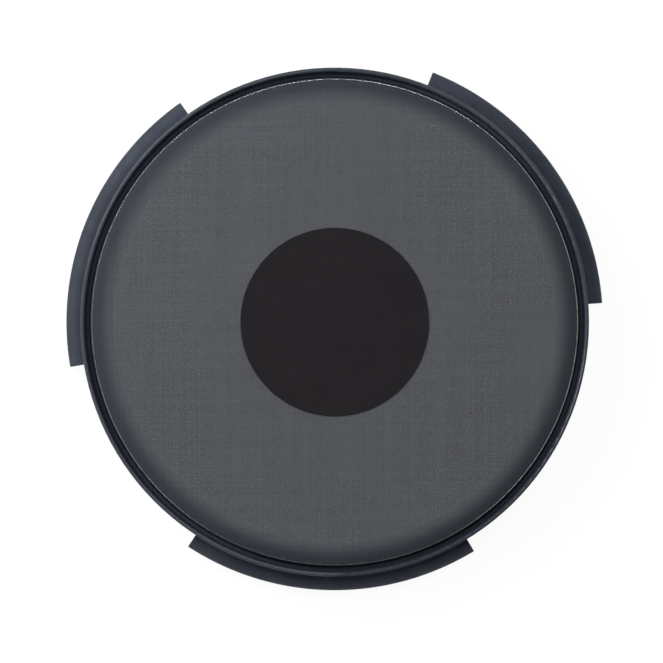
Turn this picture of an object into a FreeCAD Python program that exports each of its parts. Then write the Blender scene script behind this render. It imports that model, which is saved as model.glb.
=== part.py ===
"""Mesh practice pad for the top of a drum: a mesh head, the ring that tightens it, and three grips."""
import FreeCAD, Part
from FreeCAD import Vector
import os
from math import cos, pi, radians, sin, sqrt

os.makedirs("parts", exist_ok=True)

# ---- driving dimensions, in mm; heights are over the middle of the grips' land ----
DRUM_HOOP_R = 188.0         # edge of the drum hoop that the pad sits on
RIM_INSIDE_HOOP = 7.0       # from the drum hoop's edge in to the outside of the rim and frame
HEIGHT_OVER_BASE = 26.5     # from the frame's underside to the top of the mesh
SPLIT_OVER_BASE = 10.5      # from the frame's underside to the joint between frame and rim
RUN_GAP = 0.3               # clearance between bodies that move past each other

# grips
GRIP_CENTRES = {"grip_right": 36.3, "grip_left": 157.4, "grip_front": 269.1}
GRIP_SPAN = 64.5
LAND_BITE = 1.0             # how far the land closes under the drum hoop's edge
LAND_LENGTH = 2.5
LEAD_IN = 1.2
HOOP_ROOM = 0.3
GRIP_WALL = 3.4
SEAT_OVER_LAND = 5.5        # from the middle of the land to the seat on the drum hoop
GRIP_FLANGE = 3.2
GRIP_TOP_UNDER_SPLIT = 1.0
GRIP_SHOULDER = 8.0
GRIP_EDGE = 2.0             # round at the foot of the skirt
GRIP_END_ROUND = 0.8
RAIL_FROM_EDGE = 9.2        # from the outside of the frame in to the middle of the T-rail
RAIL_NECK = 1.6
RAIL_HEAD = 3.2
RAIL_NECK_H = 2.8
RAIL_HEAD_H = 2.2

# mesh, hem rod and centre disc
MESH_T = 0.4
BEARING_FROM_EDGE = 8.8     # from the outside of the rim in to the centre of the bearing round
MESH_ROUND = 1.4            # inside radius of the mesh where it turns down over the bearing round
CROWN_W = 12.0              # width of the sloped border of the playing face
CROWN_SLOPE = 21.0          # its slope at the bearing round, in degrees
ROD_W = 1.1
ROD_H = 2.6
ROD_SEAT_GAP = 0.1
ROD_IN_FRONT = 0.3          # how far the hem rod stands inward of the rim's ledge
DISC_R = 67.0
DISC_T = 0.8
DISC_EDGE = 0.3

# tension ring
TENSION_WALL = 2.8
TENSION_FLANGE = 2.6
TENSION_H = 7.3             # from its underside to the mesh
SHOULDER_T = 2.0
WIRE_R = 0.6
WIRE_PROUD = 0.3            # how far it stands over the plastic round
WIRE_GAP = 0.02
WIRE_UNDER_MESH = 0.05
WIRE_AT = 45.0              # where the wire lies on the bearing round, in degrees over the level
RIBS_PER_SCREW = 3
RIB_T = 1.6
RIB_SET_BACK = 0.8
RIB_BITE = 0.4

# tension screws, socket head M4
SCREW_COUNT = 8
SCREW_FROM_EDGE = 16.8
SCREW_R = 2.0
SCREW_HEAD_R = 3.5
SCREW_HEAD_H = 4.0
SCREW_HEAD_EDGE = 0.4
SCREW_SOCKET = 3.0
SCREW_SOCKET_DEPTH = 2.0
SCREW_TIP_R = 1.4
SCREW_TIP_H = 2.2
CUP_DEPTH = 1.3
HEAD_SINK = 0.5             # how far a head stays inside the frame at the lowest setting
THREAD_GAP = 0.08
LIFT_DOWN = 2.5             # travel of the tension ring from the setting shown
LIFT_UP = 1.5

# lower frame
FRAME_W = 22.5
FRAME_EDGE = 0.8
PLATE_T = 7.0
BOSS_WALL = 1.1
INSERT_R = 3.1
INSERT_H = 6.0
HEAD_ROOM = 0.3

# rim
LIP_ROUND = 1.55            # the lip is a full round
RIM_WALL_FOOT = 3.8         # wall over the ledge, from the outside of the rim
LEDGE_H = 5.5
LEDGE_ROUND = 1.0

# rim screws, M2.5, from below
RIM_SCREW_COUNT = 16
RIM_SCREW_FROM_EDGE = 3.4
RIM_SCREW_R = 1.05
RIM_SCREW_HOLE_GAP = 0.25
RIM_SCREW_HEAD_R = 2.2
RIM_SCREW_HEAD_H = 1.6
RIM_SCREW_SINK = 2.2
RIM_SCREW_BITE = 4.2
RIM_SCREW_TURN = 11.25

# ---- radii that follow ----
LAND_R = DRUM_HOOP_R - LAND_BITE
HOOP_ROOM_R = DRUM_HOOP_R + HOOP_ROOM
GRIP_R = HOOP_ROOM_R + GRIP_WALL
RIM_R = DRUM_HOOP_R - RIM_INSIDE_HOOP
RAIL_R = RIM_R - RAIL_FROM_EDGE
BEARING_R = RIM_R - BEARING_FROM_EDGE
CROWN_END_R = BEARING_R + MESH_ROUND * sin(radians(CROWN_SLOPE))
CROWN_R = CROWN_END_R - CROWN_W
CROWN_ROUND = CROWN_W / sin(radians(CROWN_SLOPE))
SKIRT_INNER_R = BEARING_R + MESH_ROUND
SKIRT_OUTER_R = SKIRT_INNER_R + MESH_T
ROD_INNER_R = SKIRT_OUTER_R + RUN_GAP
ROD_OUTER_R = ROD_INNER_R + ROD_W
TENSION_OUTER_R = SKIRT_INNER_R - RUN_GAP
LEDGE_R = ROD_INNER_R + ROD_IN_FRONT
RIM_SCREW_CIRCLE_R = RIM_R - RIM_SCREW_FROM_EDGE
SCREW_CIRCLE_R = RIM_R - SCREW_FROM_EDGE
FRAME_INNER_R = RIM_R - FRAME_W
BOSS_R = SCREW_HEAD_R + RUN_GAP + BOSS_WALL

# ---- heights that follow ----
BASE_Z = SEAT_OVER_LAND + GRIP_FLANGE + RUN_GAP
TOP_Z = BASE_Z + HEIGHT_OVER_BASE
SPLIT_Z = BASE_Z + SPLIT_OVER_BASE
MESH_Z = TOP_Z - MESH_T
TENSION_Z = MESH_Z - TENSION_H
GRIP_TOP_Z = SPLIT_Z - GRIP_TOP_UNDER_SPLIT
GRIP_BOTTOM_Z = -LAND_LENGTH / 2 - LEAD_IN
ROD_Z = SPLIT_Z - ROD_H
CROWN_CENTRE = (CROWN_R, MESH_Z - CROWN_ROUND)
CROWN_END_Z = MESH_Z - CROWN_ROUND * (1 - cos(radians(CROWN_SLOPE)))
BEARING_Z = CROWN_END_Z - MESH_ROUND * cos(radians(CROWN_SLOPE))
BEARING_CENTRE = (BEARING_R, BEARING_Z)
WIRE_FROM_CENTRE = MESH_ROUND - WIRE_UNDER_MESH - WIRE_R
WIRE_CIRCLE_R = BEARING_R + WIRE_FROM_CENTRE * cos(radians(WIRE_AT))
WIRE_Z = BEARING_Z + WIRE_FROM_CENTRE * sin(radians(WIRE_AT))
HEAD_Z = BASE_Z + LIFT_DOWN + HEAD_SINK
HEAD_TOP_Z = HEAD_Z + SCREW_HEAD_H
BOSS_ROOF_Z = HEAD_TOP_Z + LIFT_UP + HEAD_ROOM
BOSS_TOP_Z = BOSS_ROOF_Z + INSERT_H
CUP_Z = TENSION_Z + CUP_DEPTH

AXIS = Vector(0, 0, 1)
CENTRE = Vector(0, 0, 0)
EPS = 0.01


def revolved(points, angle=360.0, start=0.0):
    """Solid of revolution of an outline of (r, z) points; (rm, zm, r, z) is an arc through (rm, zm)."""
    edges = []
    for here, there in zip(points, points[1:] + points[:1]):
        start_point = Vector(here[-2], 0, here[-1])
        end_point = Vector(there[-2], 0, there[-1])
        if len(there) == 4:
            edges.append(Part.Arc(start_point, Vector(there[0], 0, there[1]), end_point).toShape())
        else:
            edges.append(Part.makeLine(start_point, end_point))
    face = Part.Face(Part.Wire(edges))
    solid = face.revolve(CENTRE, AXIS, angle)
    solid.rotate(CENTRE, AXIS, start)
    return solid


def arc_to(centre, radius, middle_deg, end_deg):
    """Outline entry for an arc about a centre, through one direction and ending at another."""
    r, z = centre
    middle = radians(middle_deg)
    end = radians(end_deg)
    return (r + radius * cos(middle), z + radius * sin(middle), r + radius * cos(end), z + radius * sin(end))


def ring(inner, outer, low, high):
    return revolved([(inner, low), (outer, low), (outer, high), (inner, high)])


def rod(radius, low, high, at_r, at_deg):
    """Upright cylinder on a circle round the pad's axis."""
    turn = radians(at_deg)
    return Part.makeCylinder(radius, high - low, Vector(at_r * cos(turn), at_r * sin(turn), low))


def around(count, offset=0.0):
    return [offset + 360.0 / count * i for i in range(count)]


def rail_outline(gap):
    """T outline of the grip's rail over the frame's underside, grown by a gap for the slot."""
    neck = RAIL_NECK / 2 + gap
    head = RAIL_HEAD / 2 + gap
    low = BASE_Z - RUN_GAP - gap
    step = BASE_Z - RUN_GAP + RAIL_NECK_H - gap
    top = step + RAIL_HEAD_H + 2 * gap
    return [
        (RAIL_R - neck, low), (RAIL_R + neck, low), (RAIL_R + neck, step), (RAIL_R + head, step),
        (RAIL_R + head, top), (RAIL_R - head, top), (RAIL_R - head, step), (RAIL_R - neck, step),
    ]


def lower_frame():
    """Ring plate with the outer wall, the hem rod's seat, the rail slot and the tension screws' bosses."""
    seat_inner = TENSION_OUTER_R - RUN_GAP
    seat_outer = ROD_OUTER_R + ROD_SEAT_GAP
    plate_top = BASE_Z + PLATE_T
    body = revolved([
        (FRAME_INNER_R, BASE_Z + FRAME_EDGE), (FRAME_INNER_R + FRAME_EDGE, BASE_Z),
        (RIM_R - FRAME_EDGE, BASE_Z), (RIM_R, BASE_Z + FRAME_EDGE), (RIM_R, SPLIT_Z),
        (seat_outer, SPLIT_Z), (seat_outer, ROD_Z), (seat_inner, ROD_Z),
        (seat_inner, plate_top), (FRAME_INNER_R, plate_top),
    ])
    for turn in around(SCREW_COUNT):
        body = body.fuse(rod(BOSS_R, BASE_Z + FRAME_EDGE, BOSS_TOP_Z, SCREW_CIRCLE_R, turn))
    body = body.cut(revolved(rail_outline(RUN_GAP)))
    for turn in around(SCREW_COUNT):
        body = body.cut(rod(SCREW_HEAD_R + RUN_GAP, BASE_Z - EPS, BOSS_ROOF_Z, SCREW_CIRCLE_R, turn))
        body = body.cut(rod(INSERT_R, BOSS_ROOF_Z - EPS, BOSS_TOP_Z + EPS, SCREW_CIRCLE_R, turn))
    head_room = RIM_SCREW_HEAD_R + RIM_SCREW_HOLE_GAP
    shank_room = RIM_SCREW_R + RIM_SCREW_HOLE_GAP
    for turn in around(RIM_SCREW_COUNT, RIM_SCREW_TURN):
        body = body.cut(rod(head_room, BASE_Z - EPS, BASE_Z + RIM_SCREW_SINK, RIM_SCREW_CIRCLE_R, turn))
        body = body.cut(rod(shank_room, BASE_Z, SPLIT_Z + EPS, RIM_SCREW_CIRCLE_R, turn))
    return body


def rim_hoop():
    """Upper rim: a ledge that holds the hem rod down, and a thin wall with a full-round lip."""
    low = SPLIT_Z
    ledge = low + LEDGE_H
    lip = (RIM_R - LIP_ROUND, TOP_Z - LIP_ROUND)
    wall_foot = RIM_R - RIM_WALL_FOOT
    inside = (wall_foot - LEDGE_ROUND, ledge + LEDGE_ROUND)
    body = revolved([
        (LEDGE_R, low), (RIM_R, low), (RIM_R, lip[1]), arc_to(lip, LIP_ROUND, 45, 90),
        arc_to(lip, LIP_ROUND, 135, 180), (wall_foot, inside[1]), arc_to(inside, LEDGE_ROUND, -45, -90),
        (LEDGE_R, ledge),
    ])
    for turn in around(RIM_SCREW_COUNT, RIM_SCREW_TURN):
        body = body.cut(rod(RIM_SCREW_R, low - EPS, low + RIM_SCREW_BITE + RUN_GAP, RIM_SCREW_CIRCLE_R, turn))
    return body


def rim_screws():
    """Screws that hold the rim on the lower frame, heads sunk in the frame's underside."""
    head_top = BASE_Z + RIM_SCREW_SINK
    screws = []
    for turn in around(RIM_SCREW_COUNT, RIM_SCREW_TURN):
        head = rod(RIM_SCREW_HEAD_R, head_top - RIM_SCREW_HEAD_H, head_top, RIM_SCREW_CIRCLE_R, turn)
        shank = rod(RIM_SCREW_R, head_top - EPS, SPLIT_Z + RIM_SCREW_BITE, RIM_SCREW_CIRCLE_R, turn)
        screws.append(head.fuse(shank))
    return Part.Compound(screws)


def screw_inserts():
    """Brass bushes in the bosses, one for each tension screw."""
    bore = SCREW_R + THREAD_GAP
    bushes = []
    for turn in around(SCREW_COUNT):
        outside = rod(INSERT_R, BOSS_ROOF_Z, BOSS_TOP_Z, SCREW_CIRCLE_R, turn)
        bushes.append(outside.cut(rod(bore, BOSS_ROOF_Z - EPS, BOSS_TOP_Z + EPS, SCREW_CIRCLE_R, turn)))
    return Part.Compound(bushes)


def tension_screw(turn):
    """Socket head screw whose dog point bears in a cup of the tension ring."""
    tip_z = CUP_Z - SCREW_TIP_H
    place = radians(turn)
    centre = Vector(SCREW_CIRCLE_R * cos(place), SCREW_CIRCLE_R * sin(place), 0)
    body = revolved([
        (0, HEAD_Z), (SCREW_HEAD_R - SCREW_HEAD_EDGE, HEAD_Z), (SCREW_HEAD_R, HEAD_Z + SCREW_HEAD_EDGE),
        (SCREW_HEAD_R, HEAD_TOP_Z), (0, HEAD_TOP_Z),
    ])
    body.translate(centre)
    body = body.fuse(rod(SCREW_R, HEAD_TOP_Z - EPS, tip_z, SCREW_CIRCLE_R, turn))
    body = body.fuse(rod(SCREW_TIP_R, tip_z - EPS, CUP_Z, SCREW_CIRCLE_R, turn))
    across_corners = SCREW_SOCKET / cos(pi / 6)
    corners = [
        Vector(across_corners / 2 * cos(radians(60 * i)), across_corners / 2 * sin(radians(60 * i)), 0)
        for i in range(6)
    ]
    hexagon = Part.Face(Part.makePolygon(corners + corners[:1]))
    socket = hexagon.extrude(Vector(0, 0, SCREW_SOCKET_DEPTH + EPS))
    socket.translate(centre + Vector(0, 0, HEAD_Z - EPS))
    return body.cut(socket)


def crown_z(radius):
    """Height of the mesh's inside on the sloped border."""
    return CROWN_CENTRE[1] + sqrt(CROWN_ROUND ** 2 - (radius - CROWN_R) ** 2)


def tension_ring():
    """Ring that the screws push up: a flange with their cups, a wall, a crowned shoulder and ribs between."""
    slope = 90 - CROWN_SLOPE
    round_r = MESH_ROUND - WIRE_PROUD
    wall = TENSION_OUTER_R - TENSION_WALL
    flange_top = TENSION_Z + TENSION_FLANGE
    inner_roof = MESH_Z - SHOULDER_T
    outer_roof = crown_z(wall) - SHOULDER_T
    body = revolved([
        (CROWN_R, TENSION_Z), (TENSION_OUTER_R, TENSION_Z), (TENSION_OUTER_R, BEARING_Z),
        arc_to(BEARING_CENTRE, round_r, slope / 2, slope), (CROWN_END_R, CROWN_END_Z),
        arc_to(CROWN_CENTRE, CROWN_ROUND, 90 - CROWN_SLOPE / 2, 90),
        (CROWN_R, inner_roof), (wall, outer_roof), (wall, flange_top), (CROWN_R, flange_top),
    ])
    rib_inner = CROWN_R + RIB_SET_BACK
    rib_low = flange_top - RIB_BITE
    for turn in around(SCREW_COUNT * RIBS_PER_SCREW):
        rib = revolved([
            (rib_inner, rib_low), (wall + RIB_BITE, rib_low), (wall + RIB_BITE, outer_roof + RIB_BITE),
            (rib_inner, inner_roof + RIB_BITE),
        ], RIB_T / BEARING_R / pi * 180, turn)
        body = body.fuse(rib)
    groove = Part.makeTorus(WIRE_CIRCLE_R, WIRE_R + WIRE_GAP, Vector(0, 0, WIRE_Z))
    body = body.cut(groove)
    for turn in around(SCREW_COUNT):
        body = body.cut(rod(SCREW_TIP_R + THREAD_GAP, TENSION_Z - EPS, CUP_Z, SCREW_CIRCLE_R, turn))
    return body


def bearing_wire():
    """Polished wire in the tension ring's bearing round, which the mesh slides over."""
    return Part.makeTorus(WIRE_CIRCLE_R, WIRE_R, Vector(0, 0, WIRE_Z))


def crown_edge():
    """Outer corner of the playing face, on the top of the mesh."""
    return arc_to(BEARING_CENTRE, MESH_ROUND + MESH_T, 90, 90 - CROWN_SLOPE)[2:]


def mesh_sheet():
    """Playing face of the mesh: flat, with a border that slopes down over the ring's shoulder."""
    middle = 90 - CROWN_SLOPE / 2
    return revolved([
        (0, MESH_Z), (CROWN_R, MESH_Z), arc_to(CROWN_CENTRE, CROWN_ROUND, middle, 90 - CROWN_SLOPE),
        crown_edge(), arc_to(CROWN_CENTRE, CROWN_ROUND + MESH_T, middle, 90), (0, TOP_Z),
    ])


def mesh_skirt():
    """Edge of the mesh: it turns down over the bearing wire and reaches the hem rod."""
    slope = 90 - CROWN_SLOPE
    return revolved([
        (CROWN_END_R, CROWN_END_Z), arc_to(BEARING_CENTRE, MESH_ROUND, slope / 2, 0), (SKIRT_INNER_R, ROD_Z),
        (SKIRT_OUTER_R, ROD_Z), (SKIRT_OUTER_R, BEARING_Z),
        arc_to(BEARING_CENTRE, MESH_ROUND + MESH_T, slope / 2, slope),
    ])


def hem_rod():
    """Stiff rod in the mesh's hem, held down by the rim's ledge."""
    return ring(ROD_INNER_R, ROD_OUTER_R, ROD_Z, SPLIT_Z)


def damping_disc():
    """Thin disc bonded on the middle of the mesh, with a rounded upper edge."""
    edge = (DISC_R - DISC_EDGE, TOP_Z + DISC_T - DISC_EDGE)
    return revolved([
        (0, TOP_Z), (DISC_R, TOP_Z), (DISC_R, edge[1]), arc_to(edge, DISC_EDGE, 45, 90), (0, TOP_Z + DISC_T),
    ])


def grip(centre_deg):
    """Flexible grip: a rail in the frame, a flange on the drum hoop and a skirt that closes round it."""
    neck = RAIL_NECK / 2
    head = RAIL_HEAD / 2
    flange_top = BASE_Z - RUN_GAP
    step = flange_top + RAIL_NECK_H
    top = step + RAIL_HEAD_H
    wall = RIM_R + RUN_GAP
    slope = HOOP_ROOM_R - LAND_R
    half_land = LAND_LENGTH / 2
    shoulder = (GRIP_R - GRIP_SHOULDER, GRIP_TOP_Z - GRIP_SHOULDER)
    foot = (GRIP_R - GRIP_EDGE, GRIP_BOTTOM_Z + GRIP_EDGE)
    start = centre_deg - GRIP_SPAN / 2
    body = revolved([
        (RAIL_R - neck, SEAT_OVER_LAND), (HOOP_ROOM_R, SEAT_OVER_LAND), (HOOP_ROOM_R, half_land + slope),
        (LAND_R, half_land), (LAND_R, -half_land), (LAND_R + LEAD_IN, GRIP_BOTTOM_Z),
        (GRIP_R - GRIP_EDGE, GRIP_BOTTOM_Z), arc_to(foot, GRIP_EDGE, -45, 0), (GRIP_R, shoulder[1]),
        arc_to(shoulder, GRIP_SHOULDER, 45, 90), (wall, GRIP_TOP_Z), (wall, flange_top),
        (RAIL_R + neck, flange_top), (RAIL_R + neck, step), (RAIL_R + head, step),
        (RAIL_R + head, top), (RAIL_R - head, top), (RAIL_R - head, step), (RAIL_R - neck, step),
    ], GRIP_SPAN, start)
    return rounded_ends(body)


def rounded_ends(body):
    """Rounds the two upright corners at the outside of a grip's ends."""
    upright = []
    for edge in body.Edges:
        ends = [vertex.Point for vertex in edge.Vertexes]
        if len(ends) != 2:
            continue
        straight = abs(edge.Length - abs(ends[1].z - ends[0].z)) < EPS
        outside = abs(sqrt(ends[0].x ** 2 + ends[0].y ** 2) - GRIP_R) < EPS
        if straight and outside:
            upright.append(edge)
    return body.makeFillet(GRIP_END_ROUND, upright)


def nodes():
    """Every node of the pad by name."""
    made = {
        "lower_frame": lower_frame(),
        "rim_hoop": rim_hoop(),
        "rim_screws": rim_screws(),
        "screw_inserts": screw_inserts(),
        "tension_ring": tension_ring(),
        "bearing_wire": bearing_wire(),
        "mesh_sheet": mesh_sheet(),
        "mesh_skirt": mesh_skirt(),
        "hem_rod": hem_rod(),
        "damping_disc": damping_disc(),
    }
    for name, centre_deg in GRIP_CENTRES.items():
        made[name] = grip(centre_deg)
    for number, turn in enumerate(around(SCREW_COUNT), 1):
        made[f"tension_screw_{number}"] = tension_screw(turn)
    return made


for node, shape in nodes().items():
    if not shape.isValid():
        raise ValueError(f"{node} is not a valid solid")
    shape.exportStep(f"parts/{node}.step")
    print(node, len(shape.Solids), round(shape.Volume / 1000, 2), "cm3")
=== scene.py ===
from math import cos, pi, radians, sin

import bmesh
import bpy
from mathutils import Matrix, Vector


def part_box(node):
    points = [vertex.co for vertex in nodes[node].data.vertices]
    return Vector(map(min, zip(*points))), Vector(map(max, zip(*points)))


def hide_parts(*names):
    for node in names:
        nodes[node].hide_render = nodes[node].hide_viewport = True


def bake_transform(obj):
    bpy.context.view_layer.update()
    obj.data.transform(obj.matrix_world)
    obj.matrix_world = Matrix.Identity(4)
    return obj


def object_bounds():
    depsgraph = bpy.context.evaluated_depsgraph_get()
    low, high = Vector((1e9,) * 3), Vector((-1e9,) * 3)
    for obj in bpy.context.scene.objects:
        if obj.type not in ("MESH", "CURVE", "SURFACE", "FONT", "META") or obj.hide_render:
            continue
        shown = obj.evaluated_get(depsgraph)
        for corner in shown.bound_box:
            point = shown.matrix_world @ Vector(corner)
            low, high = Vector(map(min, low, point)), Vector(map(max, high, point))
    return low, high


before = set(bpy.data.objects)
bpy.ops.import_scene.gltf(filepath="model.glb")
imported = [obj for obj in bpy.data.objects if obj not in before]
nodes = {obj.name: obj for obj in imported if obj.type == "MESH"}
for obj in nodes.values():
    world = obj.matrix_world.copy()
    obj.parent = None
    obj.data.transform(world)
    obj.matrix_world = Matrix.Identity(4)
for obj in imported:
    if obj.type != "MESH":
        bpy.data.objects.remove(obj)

cadLow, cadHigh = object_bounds()
print("frame loaded:", len(nodes), "parts")


# small helpers

def screenColor(red, green, blue):
    # a colour as a picture editor shows it, 0 to 255, as Blender's linear values
    def linear(value):
        value = value / 255
        return value / 12.92 if value <= 0.04045 else ((value + 0.055) / 1.055) ** 2.4
    return (linear(red), linear(green), linear(blue), 1.0)


def feed(tree, socket, value):
    # an output of another node is linked, and a plain value is set
    if isinstance(value, bpy.types.NodeSocket):
        tree.links.new(value, socket)
    else:
        socket.default_value = value


def addNode(tree, kind, inputs=None, **settings):
    node = tree.nodes.new(kind)
    for key, value in settings.items():
        setattr(node, key, value)
    for key, value in (inputs or {}).items():
        feed(tree, node.inputs[key], value)
    return node


def mathNode(tree, operation, first, second=0.0, third=None, clamp=False):
    inputs = {0: first, 1: second}
    if third is not None:
        inputs[2] = third
    return addNode(tree, "ShaderNodeMath", inputs, operation=operation, use_clamp=clamp).outputs[0]


def rangeNode(tree, value, fromLow, fromHigh, toLow=0.0, toHigh=1.0):
    # a soft step from toLow to toHigh
    inputs = {"Value": value, "From Min": fromLow, "From Max": fromHigh, "To Min": toLow, "To Max": toHigh}
    return addNode(tree, "ShaderNodeMapRange", inputs, interpolation_type="SMOOTHSTEP").outputs["Result"]


def mixColors(tree, factor, first, second):
    node = addNode(tree, "ShaderNodeMix", data_type="RGBA")
    for socket, value in ((node.inputs[0], factor), (node.inputs[6], first), (node.inputs[7], second)):
        feed(tree, socket, value)
    return node.outputs[2]


def newGroup(name, inputs, outputs):
    # inputs and outputs are lists of (name, socket type, default)
    tree = bpy.data.node_groups.new(name, "ShaderNodeTree")
    for direction, sockets in (("INPUT", inputs), ("OUTPUT", outputs)):
        for title, kind, default in sockets:
            socket = tree.interface.new_socket(title, in_out=direction, socket_type=kind)
            if default is not None:
                socket.default_value = default
    return tree, tree.nodes.new("NodeGroupInput"), tree.nodes.new("NodeGroupOutput")


def placeGroup(tree, group, inputs):
    node = tree.nodes.new("ShaderNodeGroup")
    node.node_tree = group
    for key, value in inputs.items():
        feed(tree, node.inputs[key], value)
    return node.outputs


floatKind, vectorKind = "NodeSocketFloat", "NodeSocketVector"


# shared effects

grainShape = {"fineDetail": 3.0, "slowDetail": 5.0, "patchFiner": 3.7, "patchDetail": 4.0}


def makeGrainGroup(shape):
    # fine moulded grain with slow tone changes, for plastic and rubber
    tree, given, made = newGroup(
        "mouldedGrain",
        [("Place", vectorKind, None), ("Grain Size", floatKind, 0.0006), ("Tone Size", floatKind, 0.03)],
        [("Height", floatKind, None), ("Tone", floatKind, None), ("Rough", floatKind, None)],
    )
    place = given.outputs["Place"]
    fineScale = mathNode(tree, "DIVIDE", 1.0, given.outputs["Grain Size"])
    slowScale = mathNode(tree, "DIVIDE", 1.0, given.outputs["Tone Size"])
    patchScale = mathNode(tree, "MULTIPLY", slowScale, shape["patchFiner"])
    fine = addNode(tree, "ShaderNodeTexNoise", {
        "Vector": place, "Scale": fineScale, "Detail": shape["fineDetail"],
    })
    slow = addNode(tree, "ShaderNodeTexNoise", {
        "Vector": place, "Scale": slowScale, "Detail": shape["slowDetail"],
    })
    patch = addNode(tree, "ShaderNodeTexNoise", {
        "Vector": place, "Scale": patchScale, "Detail": shape["patchDetail"],
    })
    tree.links.new(fine.outputs["Fac"], made.inputs["Height"])
    tree.links.new(slow.outputs["Fac"], made.inputs["Tone"])
    tree.links.new(patch.outputs["Fac"], made.inputs["Rough"])
    return tree


scuffShape = {
    "width": 0.012, "gapsFiner": 1.9, "gapsDetail": 2.0, "gaps": (0.56, 0.66),
    "speckEdge": (0.03, 0.09), "specksKept": (0.72, 0.86),
}


def makeScuffGroup(shape):
    # short hairline scratches in every direction and a scatter of dust
    tree, given, made = newGroup(
        "scuffsAndDust",
        [("Place", vectorKind, None), ("Scratch Size", floatKind, 0.02), ("Dust Size", floatKind, 0.004)],
        [("Scratches", floatKind, None), ("Dust", floatKind, None)],
    )
    place = given.outputs["Place"]
    scratchScale = mathNode(tree, "DIVIDE", 1.0, given.outputs["Scratch Size"])
    warped = addNode(tree, "ShaderNodeTexNoise", {"Vector": place, "Scale": scratchScale})
    bent = addNode(tree, "ShaderNodeVectorMath", {0: place, 1: warped.outputs["Color"]}, operation="MULTIPLY")
    lines = addNode(tree, "ShaderNodeTexVoronoi", {"Vector": bent.outputs[0], "Scale": scratchScale},
                    feature="DISTANCE_TO_EDGE")
    thin = rangeNode(tree, lines.outputs["Distance"], 0.0, shape["width"], 1.0, 0.0)
    gaps = addNode(tree, "ShaderNodeTexNoise", {
        "Vector": place, "Scale": mathNode(tree, "MULTIPLY", scratchScale, shape["gapsFiner"]),
        "Detail": shape["gapsDetail"],
    })
    broken = rangeNode(tree, gaps.outputs["Fac"], *shape["gaps"])
    tree.links.new(mathNode(tree, "MULTIPLY", thin, broken), made.inputs["Scratches"])
    specks = addNode(tree, "ShaderNodeTexVoronoi", {
        "Vector": place, "Scale": mathNode(tree, "DIVIDE", 1.0, given.outputs["Dust Size"]),
    })
    dot = rangeNode(tree, specks.outputs["Distance"], *shape["speckEdge"], 1.0, 0.0)
    chosen = addNode(tree, "ShaderNodeSeparateColor", {0: specks.outputs["Color"]})
    kept = rangeNode(tree, chosen.outputs[0], *shape["specksKept"])
    tree.links.new(mathNode(tree, "MULTIPLY", dot, kept), made.inputs["Dust"])
    return tree


def makeRoundGroup():
    # distance from the pad's axis, and height, in metres
    tree, given, made = newGroup(
        "ringPlace", [("Place", vectorKind, None)],
        [("Radius", floatKind, None), ("Height", floatKind, None)],
    )
    parts = addNode(tree, "ShaderNodeSeparateXYZ", {0: given.outputs["Place"]})
    flat = addNode(tree, "ShaderNodeCombineXYZ", {"X": parts.outputs["X"], "Y": parts.outputs["Y"]})
    length = addNode(tree, "ShaderNodeVectorMath", {0: flat.outputs[0]}, operation="LENGTH")
    tree.links.new(length.outputs["Value"], made.inputs["Radius"])
    tree.links.new(parts.outputs["Z"], made.inputs["Height"])
    return tree


weaveShape = {"threadEdge": (0.86, 1.1), "wave": 0.35, "waveMiddle": 0.5, "roundness": 0.5, "shade": (0.3, 1.2)}


def makeWeaveGroup(shape):
    # plain weave with open holes: Cover is 1 on a thread, Height rises over each crossing, and Shade is Height as
    # painted shade and highlight on each thread
    tree, given, made = newGroup(
        "openWeave",
        [("Place", vectorKind, None), ("Pitch", floatKind, 0.0005), ("Thread", floatKind, 0.5)],
        [("Cover", floatKind, None), ("Height", floatKind, None), ("Shade", floatKind, None)],
    )
    scaled = addNode(tree, "ShaderNodeVectorMath", {0: given.outputs["Place"]}, operation="SCALE")
    tree.links.new(mathNode(tree, "DIVIDE", 1.0, given.outputs["Pitch"]), scaled.inputs["Scale"])
    parts = addNode(tree, "ShaderNodeSeparateXYZ", {0: scaled.outputs[0]})
    covers, rises = [], []
    for along, across in (("X", "Y"), ("Y", "X")):
        offset = mathNode(tree, "ABSOLUTE", mathNode(
            tree, "SUBTRACT", mathNode(tree, "FRACT", parts.outputs[across]), 0.5))
        half = mathNode(tree, "MULTIPLY", given.outputs["Thread"], 0.5)
        edge = mathNode(tree, "DIVIDE", offset, half)
        cover = rangeNode(tree, edge, *shape["threadEdge"], 1.0, 0.0)
        wave = mathNode(tree, "SINE", mathNode(tree, "MULTIPLY", parts.outputs[along], pi))
        row = mathNode(tree, "FLOOR", parts.outputs[across])
        flip = mathNode(tree, "SUBTRACT", mathNode(
            tree, "MULTIPLY", mathNode(tree, "PINGPONG", row, 1.0), 2.0), 1.0)
        overUnder = mathNode(tree, "MULTIPLY", wave, flip)
        lift = mathNode(tree, "MULTIPLY_ADD", overUnder, shape["wave"], shape["waveMiddle"])
        crown = mathNode(tree, "SUBTRACT", 1.0, mathNode(tree, "MULTIPLY", edge, edge), clamp=True)
        rise = mathNode(tree, "MULTIPLY_ADD", crown, shape["roundness"], lift)
        covers.append(cover)
        rises.append(mathNode(tree, "MULTIPLY", cover, rise))
    tree.links.new(mathNode(tree, "MAXIMUM", covers[0], covers[1]), made.inputs["Cover"])
    top = mathNode(tree, "MAXIMUM", rises[0], rises[1])
    tree.links.new(top, made.inputs["Height"])
    tree.links.new(rangeNode(tree, top, *shape["shade"]), made.inputs["Shade"])
    return tree


grainGroup = makeGrainGroup(grainShape)
scuffGroup = makeScuffGroup(scuffShape)
roundGroup = makeRoundGroup()
weaveGroup = makeWeaveGroup(weaveShape)
print("shared effects made")


def newMaterial(name):
    material = bpy.data.materials.new(name)
    material.use_nodes = True
    tree = material.node_tree
    tree.nodes.clear()
    output = tree.nodes.new("ShaderNodeOutputMaterial")
    shader = tree.nodes.new("ShaderNodeBsdfPrincipled")
    tree.links.new(shader.outputs[0], output.inputs["Surface"])
    return material, tree, shader


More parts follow.
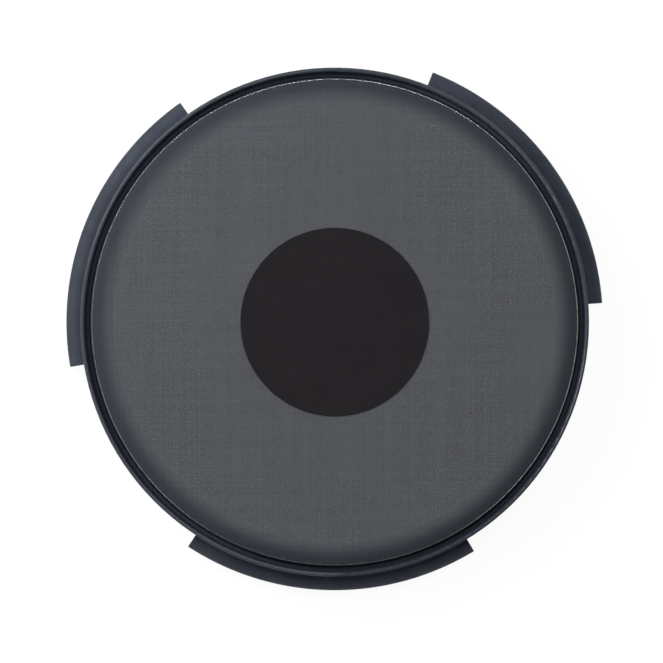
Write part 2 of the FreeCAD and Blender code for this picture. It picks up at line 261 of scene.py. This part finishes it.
def objectPlace(tree):
    return tree.nodes.new("ShaderNodeTexCoord").outputs["Object"]


def giveMaterial(piece, material):
    piece.data.materials.clear()
    piece.data.materials.append(material)
    for face in piece.data.polygons:
        face.material_index = 0


# plastic and rubber

def mouldedMaterial(name, look):
    # satin or matte moulding: grain, slow tone changes, scuffs, dust and paler edges at chosen radii, worn, and
    # on the rim's lip also a painted highlight
    material, tree, shader = newMaterial(name)
    place = objectPlace(tree)
    grain = placeGroup(tree, grainGroup, {
        "Place": place, "Grain Size": look["grainSize"], "Tone Size": look["toneSize"],
    })
    scuffs = placeGroup(tree, scuffGroup, {
        "Place": place, "Scratch Size": look["scratchSize"], "Dust Size": look["dustSize"],
    })
    tone = mixColors(tree, rangeNode(tree, grain["Tone"], *look["toneSpan"]), look["dark"], look["light"])
    speck = rangeNode(tree, grain["Height"], *look["fleckSpan"], 0.0, look["fleck"])
    tone = mixColors(tree, speck, tone, look["paleWearAndSheen"])
    wornAndSheen = mathNode(tree, "MULTIPLY", scuffs["Scratches"], look["scratch"])
    ringAt = placeGroup(tree, roundGroup, {"Place": place})
    for radius, height, reach in look["wearAndSheenAt"]:
        fromRadius = mathNode(tree, "ABSOLUTE", mathNode(tree, "SUBTRACT", ringAt["Radius"], radius))
        fromHeight = mathNode(tree, "ABSOLUTE", mathNode(tree, "SUBTRACT", ringAt["Height"], height))
        far = mathNode(tree, "MAXIMUM", fromRadius, fromHeight)
        ragged = mathNode(tree, "MULTIPLY_ADD", grain["Rough"], reach * look["ragged"], far)
        full, none = [reach * part for part in look["wornFade"]]
        wornAndSheen = mathNode(tree, "MAXIMUM", wornAndSheen, rangeNode(tree, ragged, full, none, look["edge"], 0.0))
    tone = mixColors(tree, wornAndSheen, tone, look["paleWearAndSheen"])
    dusty = mathNode(tree, "MULTIPLY", scuffs["Dust"], look["dust"])
    tone = mixColors(tree, dusty, tone, look["dustTone"])
    rough = rangeNode(tree, grain["Rough"], *look["roughSpan"], *look["rough"])
    if "groove" in look:
        # the floor of the groove is left as moulded: without polish, and with dust on it
        groove = look["groove"]
        low = rangeNode(tree, ringAt["Height"], *groove["heights"], 1.0, 0.0)
        inside = rangeNode(tree, ringAt["Radius"], *groove["radii"], 1.0, 0.0)
        deep = mathNode(tree, "MULTIPLY", low, inside)
        tone = mixColors(tree, deep, tone, groove["tone"])
        rough = mathNode(tree, "MAXIMUM", rough, mathNode(tree, "MULTIPLY", deep, groove["rough"]))
    bump = addNode(tree, "ShaderNodeBump", {
        "Height": grain["Height"], "Strength": look["bump"], "Distance": look["grainSize"] * look["grainDepth"],
    })
    tree.links.new(tone, shader.inputs["Base Color"])
    tree.links.new(rough, shader.inputs["Roughness"])
    tree.links.new(bump.outputs[0], shader.inputs["Normal"])
    shader.inputs["Specular IOR Level"].default_value = look["gloss"]
    return material


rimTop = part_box("rim_hoop")[1]

# each paler edge has its radius, height and reach; most are wear, and the rim's lip crest is partly wear and
# partly a painted highlight
plasticLook = {
    "dark": screenColor(36, 41, 50), "light": screenColor(42, 47, 57), "paleWearAndSheen": screenColor(78, 84, 96),
    "dustTone": screenColor(150, 150, 150), "toneSize": 0.035, "toneSpan": (0.35, 0.65),
    "grainSize": 0.00045, "grainDepth": 0.5, "fleck": 0.08, "fleckSpan": (0.35, 0.7),
    "scratch": 0.10, "scratchSize": 0.016, "dust": 0.2, "dustSize": 0.006,
    "edge": 0.25, "ragged": 1.2, "wornFade": (0.5, 1.5), "wearAndSheenAt": [],
    "rough": (0.24, 0.34), "roughSpan": (0.3, 0.7), "bump": 0.25, "gloss": 0.22,
}
# heights and radii are where the groove's look fades out, upwards and outwards
rimGroove = {"heights": (0.026, 0.031), "radii": (0.1785, 0.1795), "tone": screenColor(48, 54, 65), "rough": 0.85}
# painted highlight: the first paler edge, along the lip's crest, is partly wear and partly a highlight painted
# paler
rimLook = dict(plasticLook, groove=rimGroove,
               wearAndSheenAt=[(0.17945, rimTop.z, 0.0007), (rimTop.x, 0.0195, 0.0005)])
frameLook = dict(plasticLook, dark=screenColor(38, 42, 50), light=screenColor(44, 48, 57), rough=(0.45, 0.6),
                 wearAndSheenAt=[(rimTop.x, 0.0095, 0.0007)])
ringLook = dict(plasticLook, dark=screenColor(34, 36, 42), light=screenColor(40, 43, 49), rough=(0.42, 0.55),
                wearAndSheenAt=[(0.1727, 0.0325, 0.0006)])
hemLook = dict(plasticLook, dark=screenColor(46, 52, 63), light=screenColor(50, 56, 67), rough=(0.8, 0.88))
gripLook = dict(plasticLook, dark=screenColor(42, 47, 57), light=screenColor(48, 53, 64),
                paleWearAndSheen=screenColor(80, 86, 97), grainSize=0.0007, dustSize=0.005, scratch=0.06, edge=0.12,
                dust=0.3, rough=(0.5, 0.65), bump=0.35, gloss=0.15, wearAndSheenAt=[(0.1885, 0.0165, 0.002)])
rimPlastic = mouldedMaterial("rimPlastic", rimLook)
framePlastic = mouldedMaterial("framePlastic", frameLook)
ringPlastic = mouldedMaterial("ringPlastic", ringLook)
gripRubber = mouldedMaterial("gripRubber", gripLook)
hemPlastic = mouldedMaterial("hemPlastic", hemLook)
giveMaterial(nodes["rim_hoop"], rimPlastic)
giveMaterial(nodes["lower_frame"], framePlastic)
giveMaterial(nodes["tension_ring"], ringPlastic)
giveMaterial(nodes["hem_rod"], hemPlastic)
for gripName in ("grip_right", "grip_left", "grip_front"):
    giveMaterial(nodes[gripName], gripRubber)
print("plastic and rubber made")


# metal

def metalMaterial(name, look):
    # turned or drawn metal: fine streaks, patchy roughness and a little tarnish
    material, tree, shader = newMaterial(name)
    place = objectPlace(tree)
    grain = placeGroup(tree, grainGroup, {
        "Place": place, "Grain Size": look["grainSize"], "Tone Size": look["toneSize"],
    })
    stretched = addNode(tree, "ShaderNodeMapping", {"Vector": place, "Scale": look["stretch"]})
    streaks = addNode(tree, "ShaderNodeTexNoise", {
        "Vector": stretched.outputs[0], "Scale": look["streakScale"], "Detail": look["streakDetail"],
    })
    tarnished = rangeNode(tree, grain["Tone"], *look["tarnishSpan"])
    tone = mixColors(tree, tarnished, look["bright"], look["tarnish"])
    rough = rangeNode(tree, streaks.outputs["Fac"], *look["roughSpan"], *look["rough"])
    bump = addNode(tree, "ShaderNodeBump", {
        "Height": streaks.outputs["Fac"], "Strength": look["bump"], "Distance": look["streakDepth"],
    })
    tree.links.new(tone, shader.inputs["Base Color"])
    tree.links.new(rough, shader.inputs["Roughness"])
    tree.links.new(bump.outputs[0], shader.inputs["Normal"])
    shader.inputs["Metallic"].default_value = 1.0
    return material


wireLook = {
    "bright": screenColor(182, 185, 191), "tarnish": screenColor(150, 153, 159), "tarnishSpan": (0.4, 0.75),
    "grainSize": 0.0008, "toneSize": 0.006, "stretch": (1.0, 1.0, 1.0), "streakScale": 900.0,
    "streakDetail": 3.0, "streakDepth": 0.00005, "rough": (0.10, 0.18), "roughSpan": (0.3, 0.7), "bump": 0.1,
}
zincLook = dict(wireLook, bright=screenColor(188, 190, 194), tarnish=screenColor(150, 150, 148),
                grainSize=0.0006, stretch=(1.0, 1.0, 6.0), rough=(0.25, 0.4), bump=0.3)
blackLook = dict(zincLook, bright=screenColor(70, 70, 73), tarnish=screenColor(52, 51, 52), rough=(0.35, 0.5))
brassLook = dict(zincLook, bright=screenColor(214, 178, 108), tarnish=screenColor(176, 138, 80),
                 rough=(0.22, 0.36))
giveMaterial(nodes["bearing_wire"], metalMaterial("polishedWire", wireLook))
giveMaterial(nodes["screw_inserts"], metalMaterial("turnedBrass", brassLook))
giveMaterial(nodes["rim_screws"], metalMaterial("blackScrews", blackLook))
zincPlated = metalMaterial("zincPlated", zincLook)
for name, node in nodes.items():
    if name.startswith("tension_screw_"):
        giveMaterial(node, zincPlated)
print("metal made")


# the mesh

# the profile's radii and heights, the threads, the painted shade at the border, and the bright line over the
# wire, which is a painted highlight
clothLook = {
    "crownStart": 0.1607017, "crownRound": 0.033685, "crownHeight": 0.0353, "slope": radians(21.0),
    "bearing": (0.1722, 0.03157), "bend": 0.0016, "hem": 0.0169,
    "segments": 256, "rings": 10, "crownSteps": 8, "bendSteps": 6, "dropSteps": 6, "mergeWithin": 1e-6,
    "pitch": 0.00052, "thread": 0.72,
    "threadDark": screenColor(51, 53, 57), "threadLight": screenColor(76, 78, 83),
    "lowerThread": 0.66, "lowerDark": screenColor(34, 36, 39), "lowerLight": screenColor(51, 53, 57),
    "lowerTurn": pi / 4, "lowerShift": (0.00013, 0.0002, 0.0),
    "grainSize": 0.0002, "toneSize": 0.05, "pale": (0.3, 0.7, 0.0, 0.2),
    "streaks": ((560.0, 7.0, 1.0), (7.0, 560.0, 1.0)), "streakDetail": 3.0, "streakSpan": (0.38, 0.62),
    "streakTone": screenColor(96, 99, 108), "streakShare": 0.16,
    # border and its tone give the painted shade at the cloth's border
    "border": (0.1580, 0.1690, 0.0, 0.68), "borderShadeTone": screenColor(25, 30, 38),
    "lineRadius": 0.17285, "lineReach": 0.00028, "lineFade": (0.7, 1.3), "lineThread": 0.48,
    # the line's tone, side and share set the painted highlight over the wire
    "lineHighlightTone": screenColor(212, 218, 228), "highlightSide": (0.84, -0.54, 0.0), "highlightShare": (0.18, 0.66),
    "lineEnd": (-0.92, -0.7), "lineAtEnd": 0.15,
    "dashScale": 480.0, "dashDetail": 1.0, "dashPull": 0.2, "dashSpan": (0.50, 0.62, 0.55, 1.0),
    "rough": (0.3, 0.7, 0.55, 0.75), "bump": 0.4, "bumpDepth": 0.0001, "gloss": 0.12,
}


def makeClothProfile(look):
    # (radius, height, distance along the cloth from the middle), from the middle to the hem
    profile = []
    for i in range(look["rings"] + 1):
        radius = look["crownStart"] * i / look["rings"]
        profile.append((radius, look["crownHeight"], radius))
    along = look["crownStart"]
    for i in range(1, look["crownSteps"] + 1):
        turn = look["slope"] * i / look["crownSteps"]
        profile.append((look["crownStart"] + look["crownRound"] * sin(turn),
                        look["crownHeight"] - look["crownRound"] * (1 - cos(turn)),
                        along + look["crownRound"] * turn))
    along += look["crownRound"] * look["slope"]
    middle, height = look["bearing"]
    for i in range(1, look["bendSteps"] + 1):
        turn = look["slope"] + (pi / 2 - look["slope"]) * i / look["bendSteps"]
        profile.append((middle + look["bend"] * sin(turn), height + look["bend"] * cos(turn),
                        along + look["bend"] * (turn - look["slope"])))
    along = profile[-1][2]
    drop = height - look["hem"]
    for i in range(1, look["dropSteps"] + 1):
        fallen = drop * i / look["dropSteps"]
        profile.append((middle + look["bend"], height - fallen, along + fallen))
    return profile


def makeMeshCloth(look):
    # one cloth: the playing face, its sloped border, the turn over the bearing edge and down to the hem
    profile = makeClothProfile(look)
    shape = bmesh.new()
    flatRadius = shape.verts.layers.float.new("flatRadius")
    line = []
    for radius, height, reach in profile:
        vert = shape.verts.new((radius, 0.0, height))
        vert[flatRadius] = reach
        line.append(vert)
    edges = [shape.edges.new(pair) for pair in zip(line, line[1:])]
    bmesh.ops.spin(shape, geom=line + edges, cent=(0, 0, 0), axis=(0, 0, 1), angle=2 * pi,
                   steps=look["segments"], use_merge=True, use_duplicate=False)
    bmesh.ops.remove_doubles(shape, verts=shape.verts, dist=look["mergeWithin"])
    bmesh.ops.recalc_face_normals(shape, faces=shape.faces)
    uv = shape.loops.layers.uv.new("flatCloth")
    for face in shape.faces:
        face.smooth = True
        for loop in face.loops:
            across = Vector((loop.vert.co.x, loop.vert.co.y))
            if across.length > 1e-9:
                across = across.normalized() * loop.vert[flatRadius]
            loop[uv].uv = across
    data = bpy.data.meshes.new("meshCloth")
    shape.to_mesh(data)
    shape.free()
    piece = bpy.data.objects.new("meshCloth", data)
    bpy.context.scene.collection.objects.link(piece)
    return piece, profile[-1][2]


def clothMaterial(look):
    # two plies of open weave, the lower one an eighth of a turn round, and both thinner over the wire
    material, tree, shader = newMaterial("openMeshCloth")
    flat = addNode(tree, "ShaderNodeUVMap", uv_map="flatCloth").outputs[0]
    place = objectPlace(tree)
    ringAt = placeGroup(tree, roundGroup, {"Place": place})
    fromLine = mathNode(tree, "ABSOLUTE", mathNode(tree, "SUBTRACT", ringAt["Radius"], look["lineRadius"]))
    full, none = [look["lineReach"] * part for part in look["lineFade"]]
    line = rangeNode(tree, fromLine, full, none, 1.0, 0.0)
    thinner = mathNode(tree, "MULTIPLY", line, look["lineThread"])
    turned = addNode(tree, "ShaderNodeMapping", {
        "Vector": flat, "Rotation": (0.0, 0.0, look["lowerTurn"]), "Location": look["lowerShift"],
    })
    upper = placeGroup(tree, weaveGroup, {
        "Place": flat, "Pitch": look["pitch"],
        "Thread": mathNode(tree, "SUBTRACT", look["thread"], thinner),
    })
    lower = placeGroup(tree, weaveGroup, {
        "Place": turned.outputs[0], "Pitch": look["pitch"],
        "Thread": mathNode(tree, "SUBTRACT", look["lowerThread"], thinner),
    })
    grain = placeGroup(tree, grainGroup, {
        "Place": flat, "Grain Size": look["grainSize"], "Tone Size": look["toneSize"],
    })
    # painted shade and highlight: each thread is painted lighter on its crown over a crossing and darker between
    # crossings
    tone = mixColors(tree, upper["Shade"], look["threadDark"], look["threadLight"])
    # painted shade: the lower ply is painted darker than the upper one, as it lies in the upper ply's shade
    beneath = mixColors(tree, lower["Shade"], look["lowerDark"], look["lowerLight"])
    tone = mixColors(tree, upper["Cover"], beneath, tone)
    tone = mixColors(tree, rangeNode(tree, grain["Tone"], *look["pale"]), tone, look["threadLight"])
    # no two threads are quite alike, which shows as faint streaks along and across the weave
    streaks = []
    for stretch in look["streaks"]:
        drawn = addNode(tree, "ShaderNodeMapping", {"Vector": flat, "Scale": stretch})
        streaks.append(addNode(tree, "ShaderNodeTexNoise", {
            "Vector": drawn.outputs[0], "Scale": 1.0, "Detail": look["streakDetail"],
        }).outputs["Fac"])
    streak = mathNode(tree, "MULTIPLY", mathNode(tree, "ADD", streaks[0], streaks[1]), 0.5)
    streak = rangeNode(tree, streak, *look["streakSpan"], 0.0, look["streakShare"])
    tone = mixColors(tree, streak, tone, look["streakTone"])
    # painted shade: the border is painted darker towards the rim, standing in for the shade over the dark ring
    # beneath it
    borderShade = rangeNode(tree, ringAt["Radius"], *look["border"])
    tone = mixColors(tree, borderShade, tone, look["borderShadeTone"])
    # painted highlight: the threads over the wire are painted bright in short dashes, stronger on one side and
    # least of all at the front, as the lamps fall
    towardBrightSide = addNode(tree, "ShaderNodeVectorMath", {0: place, 1: look["highlightSide"]}, operation="DOT_PRODUCT")
    share = rangeNode(tree, towardBrightSide.outputs["Value"],
                      -look["lineRadius"], look["lineRadius"], *look["highlightShare"])
    toBack = addNode(tree, "ShaderNodeSeparateXYZ", {0: place}).outputs["Y"]
    ends = [look["lineRadius"] * part for part in look["lineEnd"]]
    share = mathNode(tree, "MULTIPLY", share, rangeNode(tree, toBack, *ends, look["lineAtEnd"], 1.0))
    dashes = addNode(tree, "ShaderNodeTexNoise", {
        "Vector": place, "Scale": look["dashScale"], "Detail": look["dashDetail"],
    })
    pull = mathNode(tree, "MULTIPLY", share, look["dashPull"])
    dash = rangeNode(tree, mathNode(tree, "ADD", dashes.outputs["Fac"], pull), *look["dashSpan"])
    lineHighlight = mathNode(tree, "MULTIPLY", line, mathNode(tree, "MULTIPLY", share, dash))
    tone = mixColors(tree, lineHighlight, tone, look["lineHighlightTone"])
    rough = rangeNode(tree, grain["Height"], *look["rough"])
    bump = addNode(tree, "ShaderNodeBump", {
        "Height": upper["Height"], "Strength": look["bump"], "Distance": look["bumpDepth"],
    })
    tree.links.new(tone, shader.inputs["Base Color"])
    tree.links.new(rough, shader.inputs["Roughness"])
    tree.links.new(mathNode(tree, "MAXIMUM", upper["Cover"], lower["Cover"]), shader.inputs["Alpha"])
    tree.links.new(bump.outputs[0], shader.inputs["Normal"])
    shader.inputs["Specular IOR Level"].default_value = look["gloss"]
    return material


meshCloth, cutRadius = makeMeshCloth(clothLook)
giveMaterial(meshCloth, clothMaterial(clothLook))
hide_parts("mesh_sheet", "mesh_skirt")
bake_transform(meshCloth)
print("mesh made, cut radius", round(cutRadius, 4))


# the damping disc

discLook = {
    "dark": screenColor(21, 18, 21), "light": screenColor(24, 21, 24), "smudge": screenColor(29, 26, 29),
    "dustTone": screenColor(120, 118, 118), "toneSize": 0.02, "toneSpan": (0.35, 0.65),
    "grainSize": 0.0004, "grainDepth": 0.4, "scratch": 0.06, "scratchSize": 0.012,
    "dust": 0.15, "dustSize": 0.006,
    "played": (0.0, 0.06, 0.4, 0.1), "marks": (0.5, 0.75),
    "rough": (0.66, 0.72), "roughSpan": (0.3, 0.7), "bump": 0.3, "gloss": 0.1,
}


def discMaterial(look):
    # fine matte rubber with faint stick marks, more of them towards the middle
    material, tree, shader = newMaterial("discRubber")
    place = objectPlace(tree)
    grain = placeGroup(tree, grainGroup, {
        "Place": place, "Grain Size": look["grainSize"], "Tone Size": look["toneSize"],
    })
    scuffs = placeGroup(tree, scuffGroup, {
        "Place": place, "Scratch Size": look["scratchSize"], "Dust Size": look["dustSize"],
    })
    ringAt = placeGroup(tree, roundGroup, {"Place": place})
    tone = mixColors(tree, rangeNode(tree, grain["Tone"], *look["toneSpan"]), look["dark"], look["light"])
    played = rangeNode(tree, ringAt["Radius"], *look["played"])
    marks = mathNode(tree, "MULTIPLY", rangeNode(tree, grain["Rough"], *look["marks"]), played)
    tone = mixColors(tree, marks, tone, look["smudge"])
    scratched = mathNode(tree, "MULTIPLY", scuffs["Scratches"], look["scratch"])
    tone = mixColors(tree, scratched, tone, look["smudge"])
    dusty = mathNode(tree, "MULTIPLY", scuffs["Dust"], look["dust"])
    tone = mixColors(tree, dusty, tone, look["dustTone"])
    rough = rangeNode(tree, grain["Rough"], *look["roughSpan"], *look["rough"])
    bump = addNode(tree, "ShaderNodeBump", {
        "Height": grain["Height"], "Strength": look["bump"], "Distance": look["grainSize"] * look["grainDepth"],
    })
    tree.links.new(tone, shader.inputs["Base Color"])
    tree.links.new(rough, shader.inputs["Roughness"])
    tree.links.new(bump.outputs[0], shader.inputs["Normal"])
    shader.inputs["Specular IOR Level"].default_value = look["gloss"]
    return material


giveMaterial(nodes["damping_disc"], discMaterial(discLook))
print("damping disc made")


# floor, light and camera

# each lamp has its name, place, size and power
stageLook = {
    "floorSize": 14.0, "floorGap": 0.0002, "floorWhite": 0.88, "floorRough": 0.9,
    "seenWhite": 0.93, "seenGlow": 1.02, "skyStrength": 0.12,
    "lamps": (
        ("keyLamp", (-1.3, 0.85, 1.3), 1.1, 38.0),
        ("topLamp", (0.0, 0.5, 2.2), 0.5, 14.0),
        ("sideLamp", (1.0, 1.5, 1.2), 0.7, 6.0),
        ("frontLamp", (-1.5, -0.4, 1.0), 0.6, 5.0),
    ),
}
plainWhite = (1.0, 1.0, 1.0, 1.0)


def seenRays(tree, light):
    # 1 for a ray from the camera, in a reflection or through glass
    seen = mathNode(tree, "MAXIMUM", light["Is Camera Ray"], light["Is Glossy Ray"])
    return mathNode(tree, "MAXIMUM", seen, light["Is Transmission Ray"])


def makeFloor(look):
    shape = bmesh.new()
    bmesh.ops.create_grid(shape, x_segments=2, y_segments=2, size=look["floorSize"] / 2,
                          matrix=Matrix.Translation((0, 0, cadLow.z - look["floorGap"])))
    data = bpy.data.meshes.new("studioFloor")
    shape.to_mesh(data)
    shape.free()
    floor = bpy.data.objects.new("studioFloor", data)
    bpy.context.scene.collection.objects.link(floor)
    material, tree, shader = newMaterial("studioFloorPaint")
    white = look["floorWhite"]
    shader.inputs["Base Color"].default_value = (white, white, white, 1.0)
    shader.inputs["Roughness"].default_value = look["floorRough"]
    light = tree.nodes.new("ShaderNodeLightPath").outputs
    # seen directly or in a reflection the floor is nearly white, with a share of its own shade
    share = mathNode(tree, "MULTIPLY", seenRays(tree, light), look["seenWhite"])
    glow = addNode(tree, "ShaderNodeEmission", {"Color": plainWhite, "Strength": look["seenGlow"]})
    both = tree.nodes.new("ShaderNodeMixShader")
    tree.links.new(share, both.inputs[0])
    tree.links.new(shader.outputs[0], both.inputs[1])
    tree.links.new(glow.outputs[0], both.inputs[2])
    # from below the floor is clear, so that the underside can be looked at
    backfacing = tree.nodes.new("ShaderNodeNewGeometry").outputs["Backfacing"]
    clear = tree.nodes.new("ShaderNodeBsdfTransparent")
    oneWay = tree.nodes.new("ShaderNodeMixShader")
    tree.links.new(mathNode(tree, "MULTIPLY", backfacing, light["Is Camera Ray"]), oneWay.inputs[0])
    tree.links.new(both.outputs[0], oneWay.inputs[1])
    tree.links.new(clear.outputs[0], oneWay.inputs[2])
    output = [node for node in tree.nodes if node.bl_idname == "ShaderNodeOutputMaterial"][0]
    tree.links.new(oneWay.outputs[0], output.inputs["Surface"])
    giveMaterial(floor, material)


def makeSky(look):
    world = bpy.data.worlds.new("studioSky")
    bpy.context.scene.world = world
    world.use_nodes = True
    world.node_tree.nodes.clear()
    tree = world.node_tree
    light = tree.nodes.new("ShaderNodeLightPath").outputs
    sky = addNode(tree, "ShaderNodeBackground", {"Color": plainWhite, "Strength": look["skyStrength"]})
    backdrop = addNode(tree, "ShaderNodeBackground", {"Color": plainWhite, "Strength": 1.0})
    both = tree.nodes.new("ShaderNodeMixShader")
    tree.links.new(seenRays(tree, light), both.inputs[0])
    tree.links.new(sky.outputs[0], both.inputs[1])
    tree.links.new(backdrop.outputs[0], both.inputs[2])
    output = tree.nodes.new("ShaderNodeOutputWorld")
    tree.links.new(both.outputs[0], output.inputs["Surface"])


def makeLamp(name, place, size, power):
    lamp = bpy.data.lights.new(name, "AREA")
    lamp.shape = "SQUARE"
    lamp.size = size
    lamp.energy = power
    holder = bpy.data.objects.new(name, lamp)
    holder.location = place
    holder.rotation_euler = (-Vector(place)).to_track_quat("-Z", "Y").to_euler()
    bpy.context.scene.collection.objects.link(holder)


cameraLook = {
    "lens": 400.0, "sensor": 36.0, "fieldWidth": 0.4714, "lookAt": (-0.00224, -0.00677), "seesTo": 100.0,
}


def makeCamera(look):
    camera = bpy.data.cameras.new("topCamera")
    camera.lens = look["lens"]
    camera.sensor_width = look["sensor"]
    camera.clip_end = look["seesTo"]
    holder = bpy.data.objects.new("topCamera", camera)
    distance = look["fieldWidth"] * look["lens"] / look["sensor"]
    holder.location = (look["lookAt"][0], look["lookAt"][1], cadHigh.z + distance)
    bpy.context.scene.collection.objects.link(holder)
    bpy.context.scene.camera = holder


makeFloor(stageLook)
makeSky(stageLook)
for lamp in stageLook["lamps"]:
    makeLamp(*lamp)
makeCamera(cameraLook)
bpy.context.scene.view_settings.view_transform = "Standard"
print("stage made")
